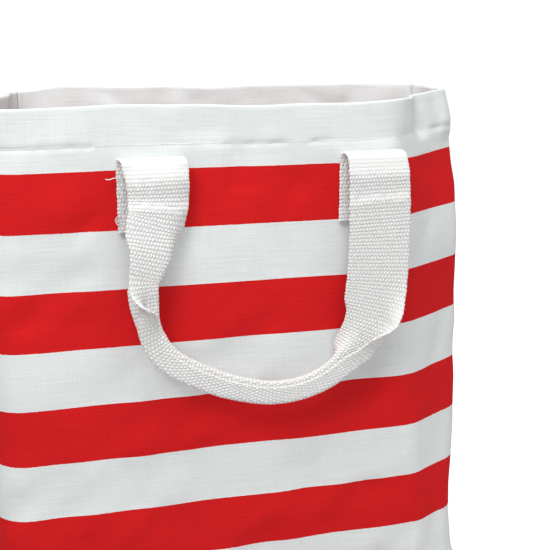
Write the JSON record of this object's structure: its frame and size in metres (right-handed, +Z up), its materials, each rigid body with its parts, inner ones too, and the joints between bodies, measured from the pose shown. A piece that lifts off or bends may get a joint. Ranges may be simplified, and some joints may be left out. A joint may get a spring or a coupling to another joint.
{
  "type": "laundry bag",
  "caption": "Soft open-topped laundry bag of striped canvas, standing on its base, with a turned-in hem and webbing handles that fold down outside.",
  "frame": {"origin": "centre of the bag's box on the surface it stands on", "axes": "+Z up, front with the visible handle towards -Y, +X to the right when facing the front"},
  "size_m": [0.3437, 0.2088, 0.352],
  "materials": {
    "striped_canvas": "matt plain-weave cotton canvas in red and white bands",
    "white_canvas": "matt plain-weave cotton canvas",
    "webbing": "coarse matt cotton webbing",
    "thread": "matt sewing thread"
  },
  "bodies": {
    "bag": {"front_and_sides_panel": "striped_canvas", "back_panel": "striped_canvas", "base_panel": "white_canvas", "mouth_hem": "white_canvas", "hem_stitching": "thread", "back_left_seam": "white_canvas", "back_right_seam": "white_canvas", "base_seam": "white_canvas", "front_left_strap_end": "webbing", "front_left_box_stitch": "thread", "front_right_strap_end": "webbing", "front_right_box_stitch": "thread", "back_left_strap_end": "webbing", "back_left_box_stitch": "thread", "back_right_strap_end": "webbing", "back_right_box_stitch": "thread"},
    "front_handle": {"front_strap": "webbing", "front_grip_stitching": "thread"},
    "back_handle": {"back_strap": "webbing", "back_grip_stitching": "thread"}
  },
  "joints": [
    {"name": "front_handle_swing", "type": "hinge", "parent": "bag", "child": "front_handle", "pos_m": [-0.01073, -0.0934, 0.321], "axis": [-1, 0, 0], "range_deg": [0, 170]},
    {"name": "back_handle_swing", "type": "hinge", "parent": "bag", "child": "back_handle", "pos_m": [0.01377, 0.0934, 0.321], "axis": [1, 0, 0], "range_deg": [0, 170]}
  ]
}
